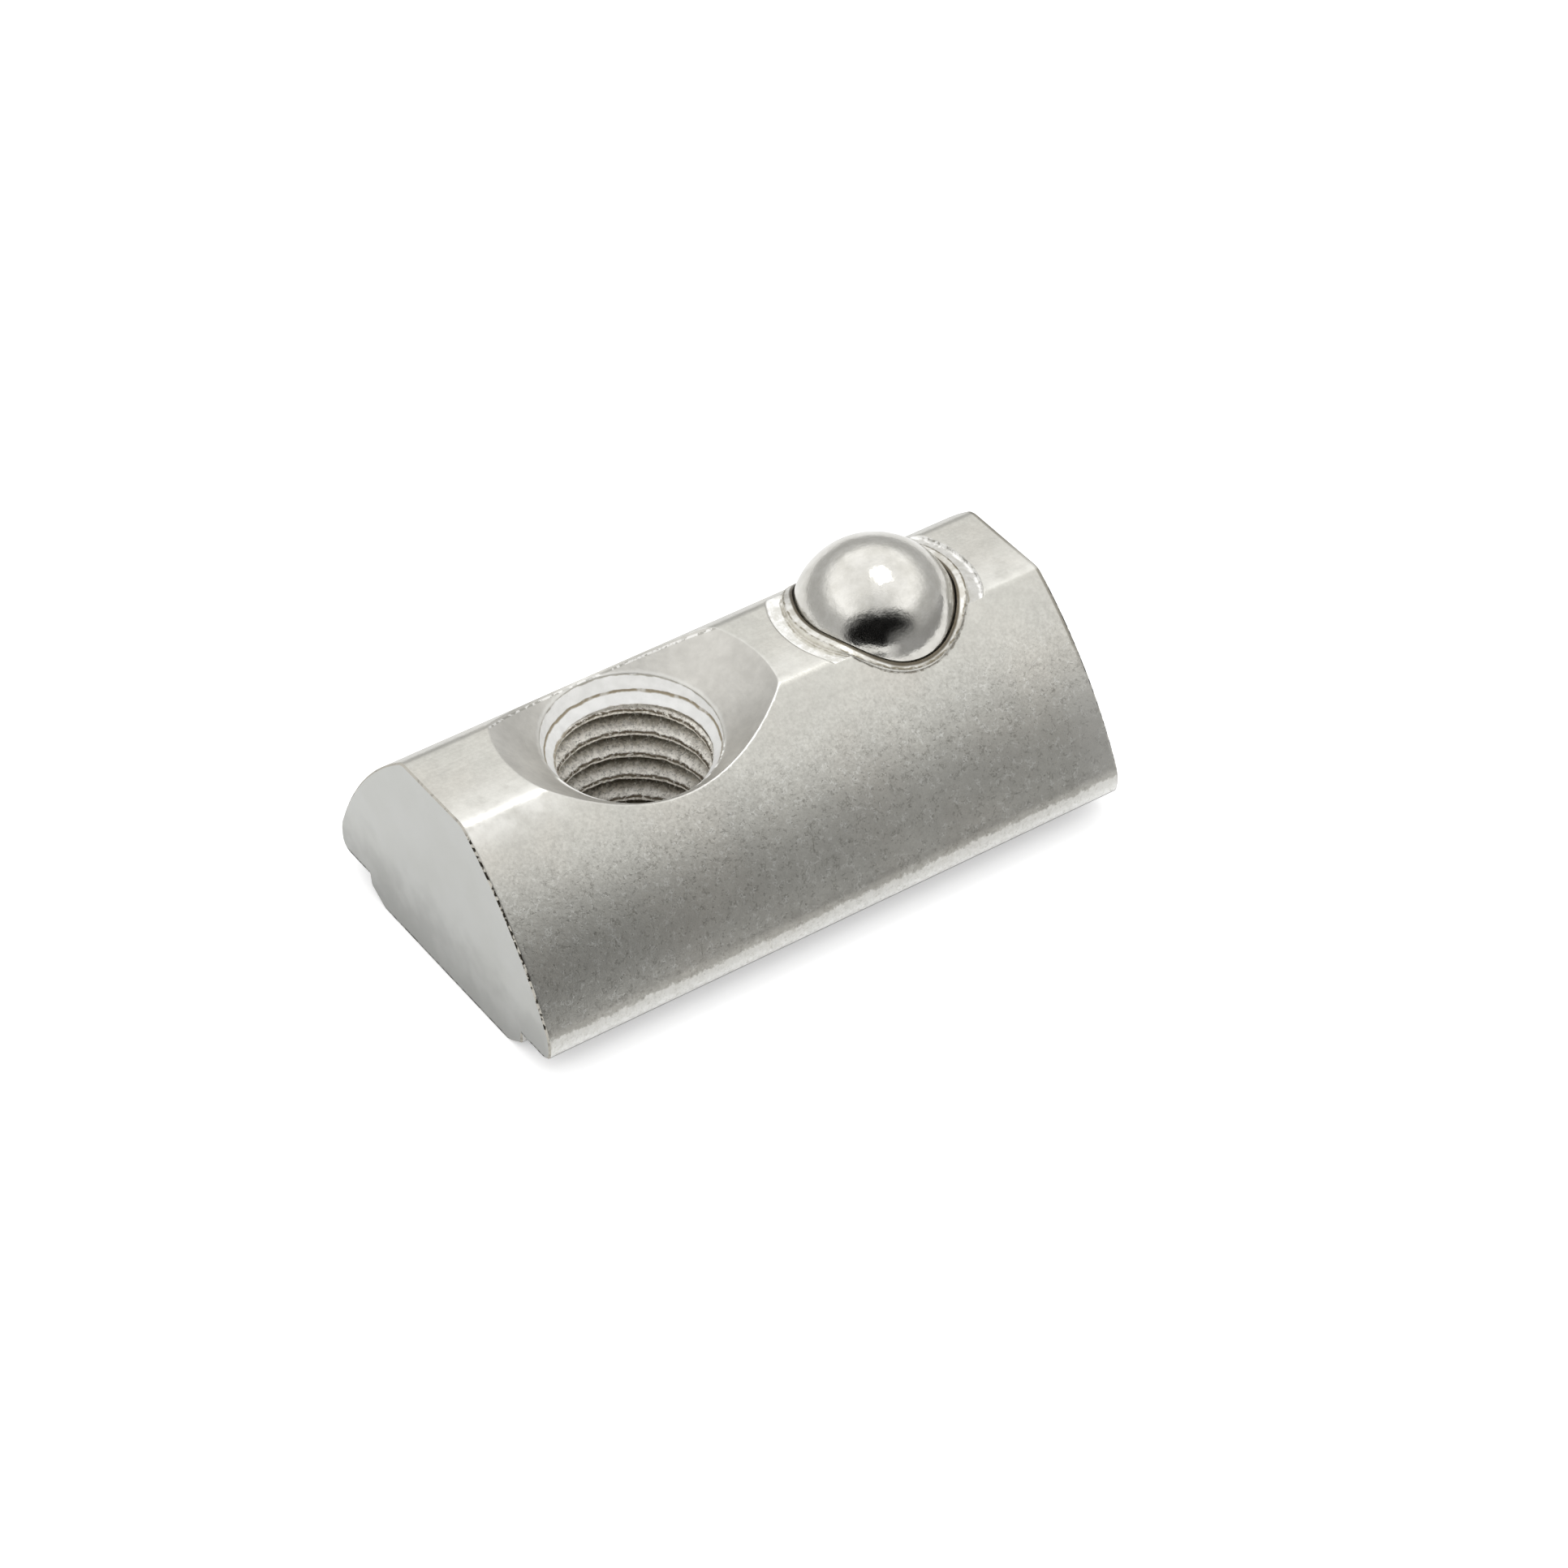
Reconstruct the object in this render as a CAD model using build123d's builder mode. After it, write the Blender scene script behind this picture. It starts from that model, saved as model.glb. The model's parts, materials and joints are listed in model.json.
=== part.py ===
from build123d import *
import os
from math import radians, sqrt, tan

# A roll-in T-slot nut: a steel bar of T section with an M5 threaded hole, and a steel ball
# that a compression spring pushes out of a blind pocket to hold the nut in its slot.
# X runs along the slot and Z points into it. The neck face, which faces the slot's mouth,
# lies on Z = 0 and the origin is under the middle of the bar. All sizes are in millimetres.

# Body section
body_length = 19.0
body_width = 10.95
body_height = 6.55
flat_width = 3.14
flank_radius = 11.8
side_height = 1.62
shoulder_round = 0.48
flank_foot_round = 1.2
flat_edge_round = 0.2
neck_width = 7.96
neck_depth = 0.78
neck_bevel_width = 0.72
neck_bevel_height = 0.42
neck_edge_round = 0.25

# Threaded hole, bored to the minor diameter of M5 x 0.8
thread_from_end = 6.39
thread_minor_diameter = 4.3
lead_in_diameter = 4.9
lead_in_depth = 1.51
lead_in_taper = 15.0
entry_bevel_height = 0.37
mouth_diameter = 5.3
mouth_angle = 90.0

# Dish round the hole, which its cutter left a little off the hole's axis
dish_diameter = 8.1
dish_angle = 102.5
dish_offset = 0.23

# Ball and its pocket
ball_from_end = 4.52
ball_diameter = 4.76
ball_projection = 1.67
ball_clearance = 0.04
pocket_floor = 1.0

# Staked lip that keeps the ball in
lip_width = 0.15
lip_rise = 0.13
stake_width = 0.48
stake_depth = 0.1
stake_edge_lean = 0.03

# Spring, a wire coil with ground ends
wire_diameter = 0.4
wire_sides = 12
spring_coils = 4.0
spring_side_clearance = 0.27
spring_end_clearance = 0.01

# Places worked out from the sizes above
thread_x = thread_from_end - body_length / 2
ball_x = body_length / 2 - ball_from_end
ball_radius = ball_diameter / 2
ball_z = body_height + ball_projection - ball_radius
pocket_radius = ball_radius + ball_clearance
lip_outer_radius = pocket_radius + lip_width
stake_outer_radius = lip_outer_radius + stake_width
over_all = body_height + ball_projection


def vertices_at(vertices, across, up):
    """The vertices of the section at one height, on both sides of its centre line."""
    return [v for v in vertices if abs(abs(v.X) - across) < 1e-6 and abs(v.Y - up) < 1e-6]


# ---- Body section: half an outline, mirrored, with its corners softened ----
with BuildSketch() as section:
    with BuildLine():
        Polyline(
            (0, 0),
            (neck_width / 2 - neck_bevel_width, 0),
            (neck_width / 2, neck_bevel_height),
            (neck_width / 2, neck_depth),
            (body_width / 2, neck_depth),
            (body_width / 2, side_height),
        )
        RadiusArc((body_width / 2, side_height), (flat_width / 2, body_height), -flank_radius)
        Line((flat_width / 2, body_height), (0, body_height))
        mirror(about=Plane.YZ)
    make_face()
    fillet(vertices_at(section.vertices(), neck_width / 2 - neck_bevel_width, 0), neck_edge_round)
    fillet(vertices_at(section.vertices(), neck_width / 2, neck_bevel_height), neck_edge_round)
    fillet(vertices_at(section.vertices(), body_width / 2, neck_depth), shoulder_round)
    fillet(vertices_at(section.vertices(), body_width / 2, side_height), flank_foot_round)
    fillet(vertices_at(section.vertices(), flat_width / 2, body_height), flat_edge_round)

# ---- Staked lip: a ring round the pocket that stands a little proud of the bar ----
with BuildPart() as lip:
    with BuildSketch(Plane.YZ):
        add(section.sketch_local)
        offset(amount=lip_rise)
    extrude(amount=body_length / 2, both=True)
    with BuildSketch(Plane.XY.offset(neck_depth)):
        with Locations((ball_x, 0)):
            Circle(lip_outer_radius)
    extrude(amount=over_all, mode=Mode.INTERSECT)

# ---- Body ----
with BuildPart() as nut_body:
    with BuildSketch(Plane.YZ):
        add(section.sketch_local)
    extrude(amount=body_length / 2, both=True)

    # Groove that the staking punch leaves round the lip
    with BuildSketch(Plane.XZ):
        with BuildLine():
            Polyline(
                (ball_x + lip_outer_radius, over_all),
                (ball_x + lip_outer_radius, body_height - stake_depth),
                (ball_x + stake_outer_radius - stake_edge_lean, body_height - stake_depth),
                (ball_x + stake_outer_radius, body_height),
                (ball_x + stake_outer_radius, over_all),
                close=True,
            )
        make_face()
    revolve(axis=Axis((ball_x, 0, 0), (0, 0, 1)), mode=Mode.SUBTRACT)
    add(lip.part)

    # Ball pocket: a blind bore that closes over the ball above its middle
    with BuildSketch(Plane.XZ):
        with BuildLine():
            Polyline(
                (ball_x, ball_z + pocket_radius),
                (ball_x, pocket_floor),
                (ball_x + pocket_radius, pocket_floor),
                (ball_x + pocket_radius, ball_z),
            )
            RadiusArc((ball_x + pocket_radius, ball_z), (ball_x, ball_z + pocket_radius), -pocket_radius)
        make_face()
    revolve(axis=Axis((ball_x, 0, 0), (0, 0, 1)), mode=Mode.SUBTRACT)

    # Dish: a cone that opens upwards round the threaded hole
    dish_slope = tan(radians(dish_angle / 2))
    with BuildSketch(Plane.XZ.offset(dish_offset)):
        with BuildLine():
            Polyline(
                (thread_x, body_height - dish_diameter / 2 / dish_slope),
                (thread_x + dish_diameter / 2 + ball_projection * dish_slope, over_all),
                (thread_x, over_all),
                close=True,
            )
        make_face()
    revolve(axis=Axis((thread_x, -dish_offset, 0), (0, 0, 1)), mode=Mode.SUBTRACT)

    # Threaded hole, with a bevelled lead-in above and a countersunk mouth in the neck face
    minor_radius = thread_minor_diameter / 2
    lead_in_radius = lead_in_diameter / 2
    lead_in_foot = body_height - lead_in_depth
    mouth_depth = (mouth_diameter / 2 - minor_radius) / tan(radians(mouth_angle / 2))
    with BuildSketch(Plane.XZ):
        with BuildLine():
            Polyline(
                (thread_x, 0),
                (thread_x + mouth_diameter / 2, 0),
                (thread_x + minor_radius, mouth_depth),
                (thread_x + minor_radius, lead_in_foot - entry_bevel_height),
                (thread_x + lead_in_radius, lead_in_foot),
                (thread_x + lead_in_radius + lead_in_depth * tan(radians(lead_in_taper)), body_height),
                (thread_x, body_height),
                close=True,
            )
        make_face()
    revolve(axis=Axis((thread_x, 0, 0), (0, 0, 1)), mode=Mode.SUBTRACT)

# ---- Ball ----
with BuildPart() as ball:
    with Locations((ball_x, 0, ball_z)):
        Sphere(ball_radius)

# ---- Spring: stands on the pocket floor and ends where its inner edge meets the ball ----
coil_radius = pocket_radius - spring_side_clearance - wire_diameter / 2
seat_radius = coil_radius - wire_diameter / 2
spring_top = ball_z - sqrt(ball_radius**2 - seat_radius**2) - spring_end_clearance
spring_length = spring_top - pocket_floor
with BuildPart() as spring:
    with BuildLine():
        coil = Helix(
            pitch=spring_length / spring_coils,
            height=spring_length,
            radius=coil_radius,
            center=(ball_x, 0, pocket_floor),
        )
    with BuildSketch(Plane(origin=coil @ 0, z_dir=coil % 0)):
        RegularPolygon(radius=wire_diameter / 2, side_count=wire_sides)
    sweep(path=coil, is_frenet=True)
    with BuildSketch(Plane.XY.offset(pocket_floor)):
        with Locations((ball_x, 0)):
            Circle(pocket_radius)
    extrude(amount=spring_length, mode=Mode.INTERSECT)

# ---- Labels and files ----
nut_body.part.label = "nut_body"
ball.part.label = "ball"
spring.part.label = "spring"

os.makedirs("parts", exist_ok=True)
export_step(nut_body.part, "parts/nut_body.step")
export_step(ball.part, "parts/ball.step")
export_step(spring.part, "parts/spring.step")
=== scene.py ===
import json
import math

import bmesh
import bpy
from mathutils import Matrix, Vector


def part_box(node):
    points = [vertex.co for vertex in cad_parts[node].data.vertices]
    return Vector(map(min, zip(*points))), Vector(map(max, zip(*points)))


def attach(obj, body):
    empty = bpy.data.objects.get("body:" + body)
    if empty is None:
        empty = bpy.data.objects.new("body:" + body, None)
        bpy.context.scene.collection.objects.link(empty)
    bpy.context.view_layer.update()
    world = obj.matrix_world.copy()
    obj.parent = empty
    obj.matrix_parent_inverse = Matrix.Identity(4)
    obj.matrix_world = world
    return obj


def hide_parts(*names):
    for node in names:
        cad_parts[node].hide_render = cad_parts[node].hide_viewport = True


# A roll-in T-slot nut on a pale floor: steel body, polished ball, and the coil spring under the ball.
# The hole's end of the bar is at low X, the ball's at high X, and low Y is the near side. Lengths are in
# metres, and MM turns millimetres into them. Materials work in millimetres, as class Shader says.

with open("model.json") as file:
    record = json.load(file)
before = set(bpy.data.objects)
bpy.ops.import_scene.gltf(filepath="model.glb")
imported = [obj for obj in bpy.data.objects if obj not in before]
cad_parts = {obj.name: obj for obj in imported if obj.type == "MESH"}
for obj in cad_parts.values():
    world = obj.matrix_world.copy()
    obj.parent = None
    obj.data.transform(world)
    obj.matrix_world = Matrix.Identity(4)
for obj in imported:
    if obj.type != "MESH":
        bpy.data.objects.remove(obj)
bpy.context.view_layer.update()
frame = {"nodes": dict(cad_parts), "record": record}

MM = 0.001
TAU = 2 * math.pi

# ---- Places and sizes read from the frame ----
BODY_LOW, BODY_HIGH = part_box("nut_body")
ball_low, ball_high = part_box("ball")
thread_mount = next(m for m in frame["record"]["mounts"] if m["name"] == "thread")
shoulder_mount = next(m for m in frame["record"]["mounts"] if m["name"] == "shoulder_left")

BAR_WIDTH = BODY_HIGH.y - BODY_LOW.y
THREAD_X = thread_mount["pos_m"][0]
CREST_RADIUS = thread_mount["dims"]["r_mm"] * MM
BALL_CENTRE = (ball_low + ball_high) / 2
BALL_RADIUS = (ball_high.z - ball_low.z) / 2
NECK_DEPTH = shoulder_mount["pos_m"][2]
WHOLE_MIDDLE = (BODY_LOW + Vector((BODY_HIGH.x, BODY_HIGH.y, ball_high.z))) / 2

# ---- Sizes of the bar that the frame doesn't state ----
LIP_RISE = 0.13 * MM
BAR_HEIGHT = BODY_HIGH.z - LIP_RISE
FLAT_WIDTH = 3.14 * MM
FLANK_RADIUS = 11.8 * MM
SIDE_HEIGHT = 1.62 * MM
NECK_WIDTH = 7.96 * MM
NECK_BEVEL = (0.72 * MM, 0.42 * MM)
END_BEVEL = 0.05 * MM

# How far each softened corner of the section reaches along its two sides
CROWN_REACH = 0.2 * MM
SIDE_REACH = 0.25 * MM
SHOULDER_REACH = 0.48 * MM
NECK_REACH = 0.12 * MM

# Threaded hole, M5 x 0.8, with its lead-in and mouth
PITCH = 0.8 * MM
ROOT_RADIUS = 2.58 * MM
THREAD_PHASE = 0.29 * MM
LEAD_IN_RADIUS = 2.45 * MM
LEAD_IN_DEPTH = 1.51 * MM
LEAD_IN_SLOPE = math.tan(math.radians(15))
LEAD_IN_FOOT = BAR_HEIGHT - LEAD_IN_DEPTH
ENTRY_HEIGHT = 0.37 * MM
MOUTH_RADIUS = 2.65 * MM
TAP_START = -1.2 * MM
TAP_SPARE = 0.03 * MM
RUNOUT_LENGTH = 0.4 * MM
RUNOUT_WIDEST = ROOT_RADIUS + 0.1 * MM
RUNOUT_NARROWEST = CREST_RADIUS + 0.05 * MM
THREAD_TOP = LEAD_IN_FOOT - ENTRY_HEIGHT - TAP_SPARE
THREAD_AXIS = Vector((THREAD_X, 0, 0))

# Dish above the hole: a cone whose axis is a little off the hole's
DISH_RADIUS = 4.05 * MM
DISH_SLOPE = math.tan(math.radians(51.25))
DISH_AXIS = Vector((THREAD_X, -0.23 * MM, 0))

# Ball pocket, its staked lip and the groove round it
POCKET_RADIUS = BALL_RADIUS + 0.04 * MM
POCKET_FLOOR = 1.0 * MM
LIP_RADIUS = POCKET_RADIUS + 0.15 * MM
LIP_CROWN_REACH = 0.8 * MM
LIP_FLANK_SHARE = 0.35
LIP_FADE = 0.6 * MM
STAKE_WIDTH = 0.48 * MM
STAKE_DEPTH = 0.1 * MM
STAKE_EDGE_LEAN = 0.03 * MM

# Material slots of a bar: its long sides, its two ends and the bevelled edges round them
SIDES, ENDS, EDGES = range(3)


# ---- Mesh helpers ----
def new_object(name, bm):
    bmesh.ops.recalc_face_normals(bm, faces=bm.faces)
    mesh = bpy.data.meshes.new(name)
    bm.to_mesh(mesh)
    bm.free()
    piece = bpy.data.objects.new(name, mesh)
    bpy.context.scene.collection.objects.link(piece)
    return piece


def soften(points, corner, reach, steps=6):
    """Swaps one corner of an open outline for a curve that starts and ends at the given reach."""
    at = min(range(len(points)), key=lambda i: math.dist(points[i], corner))

    def walk(step):
        left, i = reach, at
        while True:
            here, there = Vector(points[i]), Vector(points[i + step])
            span = (there - here).length
            if span > left:
                return here.lerp(there, left / span), i + step
            left -= span
            i += step

    (start, before), (end, after) = walk(-1), walk(1)
    middle = Vector(points[at])
    curve = []
    for k in range(steps + 1):
        t = k / steps
        curve.append(tuple(start.lerp(middle, t).lerp(middle.lerp(end, t), t)))
    return points[: before + 1] + curve + points[after:]


def flank_centre():
    """Centre of the arc that forms the flank, as (y, z)."""
    foot, top = Vector((BAR_WIDTH / 2, SIDE_HEIGHT)), Vector((FLAT_WIDTH / 2, BAR_HEIGHT))
    chord = top - foot
    out = Vector((chord.y, -chord.x)).normalized()
    return (foot + top) / 2 - out * math.sqrt(FLANK_RADIUS**2 - chord.length_squared / 4)


def half_section(rise=0.0, crown=CROWN_REACH):
    """Right half of the bar's section as (y, z) points, from the neck face's middle to the flat's middle."""
    side, neck, flat = BAR_WIDTH / 2, NECK_WIDTH / 2, FLAT_WIDTH / 2
    foot, top = Vector((side, SIDE_HEIGHT)), Vector((flat, BAR_HEIGHT))
    centre = flank_centre()
    start = math.atan2(foot.y - centre.y, foot.x - centre.x)
    end = math.atan2(top.y - centre.y, top.x - centre.x)
    flank_steps = 28
    flank = []
    for k in range(flank_steps + 1):
        a = start + (end - start) * k / flank_steps
        flank.append((centre.x + FLANK_RADIUS * math.cos(a), centre.y + FLANK_RADIUS * math.sin(a)))
    points = [
        (0, 0),
        (neck - NECK_BEVEL[0], 0),
        (neck, NECK_BEVEL[1]),
        (neck, NECK_DEPTH),
        (side, NECK_DEPTH),
    ] + flank + [(0, BAR_HEIGHT)]
    points = soften(points, (neck - NECK_BEVEL[0], 0), NECK_REACH)
    points = soften(points, (neck, NECK_BEVEL[1]), NECK_REACH)
    points = soften(points, (side, NECK_DEPTH), SHOULDER_REACH, steps=10)
    points = soften(points, (side, SIDE_HEIGHT), SIDE_REACH)
    points = soften(points, (flat, BAR_HEIGHT), crown, steps=10)
    return grow(points, rise, LIP_FLANK_SHARE) if rise else points


def grow(points, rise, on_flank=1.0):
    """Moves an outline outwards by the given rise, and by a share of it where it lies well below the flat."""
    grown = []
    last = len(points) - 1
    for i, point in enumerate(points):
        before, after = Vector(points[max(i - 1, 0)]), Vector(points[min(i + 1, last)])
        along = (after - before).normalized()
        up = min(max((point[1] - BAR_HEIGHT + LIP_FADE) / LIP_FADE, 0), 1)
        step = rise * (on_flank + (1 - on_flank) * up)
        grown.append((point[0] + along.y * step, point[1] - along.x * step))
    grown[0] = (0, grown[0][1])
    grown[-1] = (0, grown[-1][1])
    return grown


def prism(name, half, low_x, high_x, edge=0.0):
    """A bar along X whose section is a half outline and its mirror image, with its end edges bevelled."""
    stations = [(low_x, 0), (high_x, 0)]
    if edge:
        stations = [(low_x, edge), (low_x + edge, 0), (high_x - edge, 0), (high_x, edge)]
    bm = bmesh.new()
    loops = []
    for x, inset in stations:
        side = grow(half, -inset) if inset else half
        outline = side + [(-y, z) for y, z in reversed(side[1:-1])]
        loops.append([bm.verts.new((x, y, z)) for y, z in outline])
    for low, high in zip(loops, loops[1:]):
        on_edge = edge and (low is loops[0] or high is loops[-1])
        for i in range(len(low)):
            j = (i + 1) % len(low)
            bm.faces.new((low[i], low[j], high[j], high[i])).material_index = EDGES if on_edge else SIDES
    bm.faces.new(loops[0]).material_index = ENDS
    bm.faces.new(loops[-1]).material_index = ENDS
    return new_object(name, bm)


def circle(bm, centre, radius, z, segments):
    """A level circle of vertices round a vertical axis."""
    verts = []
    for k in range(segments):
        a = TAU * (k + 0.5) / segments
        verts.append(bm.verts.new((centre[0] + radius * math.cos(a), centre[1] + radius * math.sin(a), z)))
    return verts


def turned(name, outline, centre, segments=160):
    """A solid turned about a vertical axis, from (radius, height) points that start and end on the axis."""
    bm = bmesh.new()
    loops = [circle(bm, centre, radius, z, segments if radius else 1) for radius, z in outline]
    for low, high in zip(loops, loops[1:]):
        for k in range(segments):
            n = (k + 1) % segments
            corners = [low[k % len(low)], low[n % len(low)], high[n % len(high)], high[k % len(high)]]
            bm.faces.new(list(dict.fromkeys(corners)))
    return new_object(name, bm)


def ring(name, outline, centre, segments=160):
    """A closed ring turned about a vertical axis, from a closed outline of (radius, height) points."""
    bm = bmesh.new()
    loops = [circle(bm, centre, radius, z, segments) for radius, z in outline]
    for low, high in zip(loops, loops[1:] + loops[:1]):
        for k in range(segments):
            n = (k + 1) % segments
            bm.faces.new((low[k], low[n], high[n], high[k]))
    return new_object(name, bm)


def combine(target, tool, how):
    """Cuts, joins or intersects the target with a tool, which is then thrown away."""
    modifier = target.modifiers.new("boolean", "BOOLEAN")
    modifier.operation = how
    modifier.solver = "EXACT"
    modifier.material_mode = "TRANSFER"
    modifier.object = tool
    depsgraph = bpy.context.evaluated_depsgraph_get()
    mesh = bpy.data.meshes.new_from_object(target.evaluated_get(depsgraph))
    target.modifiers.clear()
    target.data = mesh
    bpy.data.objects.remove(tool)


# ---- Threaded core: the shape that a tap leaves, as one closed solid ----
# One pitch of the thread as (height share, depth share), from one crest to the next
THREAD_PROFILE = [
    (0.00, 0.06), (0.03, 0.00), (0.15, 0.00), (0.19, 0.03), (0.23, 0.10), (0.30, 0.28),
    (0.38, 0.52), (0.46, 0.78), (0.56, 1.02), (0.66, 1.05), (0.76, 0.90), (0.88, 0.45),
]


def runout_radius(z):
    """The widest that the tap's cut may be at a height: it fades out under the lead-in's bevel."""
    share = min(max((z - THREAD_TOP + RUNOUT_LENGTH) / RUNOUT_LENGTH, 0), 1)
    return RUNOUT_WIDEST + (RUNOUT_NARROWEST - RUNOUT_WIDEST) * share


def threaded_core(low, high, steps=144):
    """A closed screw-shaped solid. Its grid follows the helix, so crests and roots stay crisp."""
    per_turn = len(THREAD_PROFILE)
    first = math.floor((low - THREAD_PHASE) / PITCH)
    last = math.ceil((high - THREAD_PHASE) / PITCH)
    bm = bmesh.new()
    columns = []
    for i in range(steps):
        a = TAU * i / steps
        column = []
        for turn in range(first, last):
            for share, depth in THREAD_PROFILE:
                z = THREAD_PHASE + PITCH * (turn + share + i / steps)
                radius = min(CREST_RADIUS + (ROOT_RADIUS - CREST_RADIUS) * depth, runout_radius(z))
                column.append(bm.verts.new((THREAD_X + radius * math.cos(a), radius * math.sin(a), z)))
        columns.append(column)
    count = len(columns[0])
    for i in range(steps):
        here, there = columns[i], columns[(i + 1) % steps]
        shift = per_turn if i == steps - 1 else 0
        for j in range(count - 1 - shift):
            bm.faces.new((here[j], there[j + shift], there[j + 1 + shift], here[j + 1]))
    # Each end steps by one turn at the seam, so a fan closes it over the step
    first_rim = [c[0] for c in columns] + columns[0][per_turn:0:-1]
    last_rim = [c[-1] for c in columns] + columns[-1][-2:-per_turn - 2:-1]
    for rim in (first_rim, last_rim):
        hub = bm.verts.new((THREAD_X, 0, sum(v.co.z for v in rim) / len(rim)))
        for v, w in zip(rim, rim[1:] + rim[:1]):
            bm.faces.new((hub, v, w))
    return new_object("threaded_core", bm)


# ---- Body: one closed solid ----
def cut_groove(body):
    """The groove that the staking punch leaves round the lip."""
    groove = ring("groove", [
        (LIP_RADIUS, BAR_HEIGHT + MM),
        (LIP_RADIUS, BAR_HEIGHT - STAKE_DEPTH),
        (LIP_RADIUS + STAKE_WIDTH - STAKE_EDGE_LEAN, BAR_HEIGHT - STAKE_DEPTH),
        (LIP_RADIUS + STAKE_WIDTH, BAR_HEIGHT),
        (LIP_RADIUS + STAKE_WIDTH, BAR_HEIGHT + MM),
    ], BALL_CENTRE)
    dress(groove, STAKE)
    combine(body, groove, "DIFFERENCE")


def add_lip(body):
    """The staked lip: the bar's own section, a little larger, inside an upright cylinder."""
    lip = prism("lip", half_section(LIP_RISE, LIP_CROWN_REACH), BODY_LOW.x - MM, BODY_HIGH.x + MM)
    dress(lip, LIP, LIP)
    low, high = NECK_DEPTH + MM, BAR_HEIGHT + MM
    round_lip = turned("round_lip", [(0, low), (LIP_RADIUS, low), (LIP_RADIUS, high), (0, high)], BALL_CENTRE)
    dress(round_lip, STAKE)
    combine(lip, round_lip, "INTERSECT")
    combine(body, lip, "UNION")


def cut_pocket(body, steps=16):
    """The ball's pocket, which closes over the ball above its middle."""
    outline = [(0, POCKET_FLOOR), (POCKET_RADIUS, POCKET_FLOOR)]
    for k in range(steps):
        a = math.pi / 2 * k / steps
        outline.append((POCKET_RADIUS * math.cos(a), BALL_CENTRE.z + POCKET_RADIUS * math.sin(a)))
    outline.append((0, BALL_CENTRE.z + POCKET_RADIUS))
    pocket = turned("pocket", outline, BALL_CENTRE)
    dress(pocket, POCKET)
    combine(body, pocket, "DIFFERENCE")


def cut_dish(body, rise=2 * MM):
    """The dish round the threaded hole, cut by a cone that stands above the flat by the given rise."""
    dish = turned("dish", [
        (0, BAR_HEIGHT - DISH_RADIUS / DISH_SLOPE),
        (DISH_RADIUS + rise * DISH_SLOPE, BAR_HEIGHT + rise),
        (0, BAR_HEIGHT + rise),
    ], DISH_AXIS, segments=256)
    dress(dish, DISH)
    combine(body, dish, "DIFFERENCE")


def cut_hole(body):
    """The hole with its countersunk mouth and tapered lead-in, and then its thread."""
    bore = CREST_RADIUS - TAP_SPARE
    hole = turned("hole", [
        (0, -MM),
        (MOUTH_RADIUS + MM, -MM),
        (bore, MOUTH_RADIUS - bore),
        (bore, THREAD_TOP),
        (LEAD_IN_RADIUS, LEAD_IN_FOOT),
        (LEAD_IN_RADIUS + LEAD_IN_DEPTH * LEAD_IN_SLOPE, BAR_HEIGHT),
        (0, BAR_HEIGHT),
    ], THREAD_AXIS)
    dress(hole, LEAD_IN)
    combine(body, hole, "DIFFERENCE")
    tap = threaded_core(TAP_START, LEAD_IN_FOOT)
    dress(tap, THREAD)
    combine(body, tap, "DIFFERENCE")


def make_body():
    body = prism("nut_body_solid", half_section(), BODY_LOW.x, BODY_HIGH.x, END_BEVEL)
    dress(body, BAR, END, BURR)
    cut_groove(body)
    add_lip(body)
    cut_pocket(body)
    cut_dish(body)
    cut_hole(body)
    shade_by_angle(body, 24)
    return body


def shade_by_angle(piece, degrees):
    """Smooth shading, with sharp edges where two faces meet at more than the given angle."""
    mesh = piece.data
    mesh.polygons.foreach_set("use_smooth", [True] * len(mesh.polygons))
    bm = bmesh.new()
    bm.from_mesh(mesh)
    for edge in bm.edges:
        edge.smooth = len(edge.link_faces) == 2 and edge.calc_face_angle(0) < math.radians(degrees)
    bm.to_mesh(mesh)
    bm.free()


def make_ball():
    bm = bmesh.new()
    bmesh.ops.create_uvsphere(bm, u_segments=128, v_segments=64, radius=BALL_RADIUS)
    bmesh.ops.translate(bm, verts=bm.verts, vec=BALL_CENTRE)
    ball = new_object("ball_smooth", bm)
    shade_by_angle(ball, 60)
    return ball


# ---- Materials ----
# Colours over one pitch of the thread, from the lower edge of a crest up to the next crest
# Painted light and shade: the bright stops stand for lit flanks, and the dark root stops are partly dirt,
# partly painted shade
THREAD_LIGHT_AND_SHADE = [
    (0.00, (0.04, 0.034, 0.024)), (0.035, (0.06, 0.05, 0.035)), (0.07, (1.00, 0.96, 0.87)),
    (0.11, (0.93, 0.88, 0.77)), (0.15, (0.10, 0.08, 0.055)), (0.205, (0.10, 0.08, 0.055)),
    (0.24, (1.00, 0.975, 0.91)), (0.34, (1.00, 0.965, 0.89)), (0.41, (0.78, 0.73, 0.63)),
    (0.49, (0.42, 0.38, 0.31)), (0.58, (0.22, 0.19, 0.14)), (0.75, (0.12, 0.10, 0.07)),
]


def set_stops(elements, stops):
    """Gives a colour ramp its stops, as (position, colour) pairs."""
    while len(elements) < len(stops):
        elements.new(1.0)
    for element, (position, colour) in zip(elements, stops):
        element.position = position
        element.color = (*colour, 1)


# Short names of the surface inputs that the materials set by themselves
SURFACE_INPUTS = {
    "metallic": "Metallic",
    "specular": "Specular IOR Level",
    "alpha": "Alpha",
    "glow": "Emission Color",
    "glow_strength": "Emission Strength",
}


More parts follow.
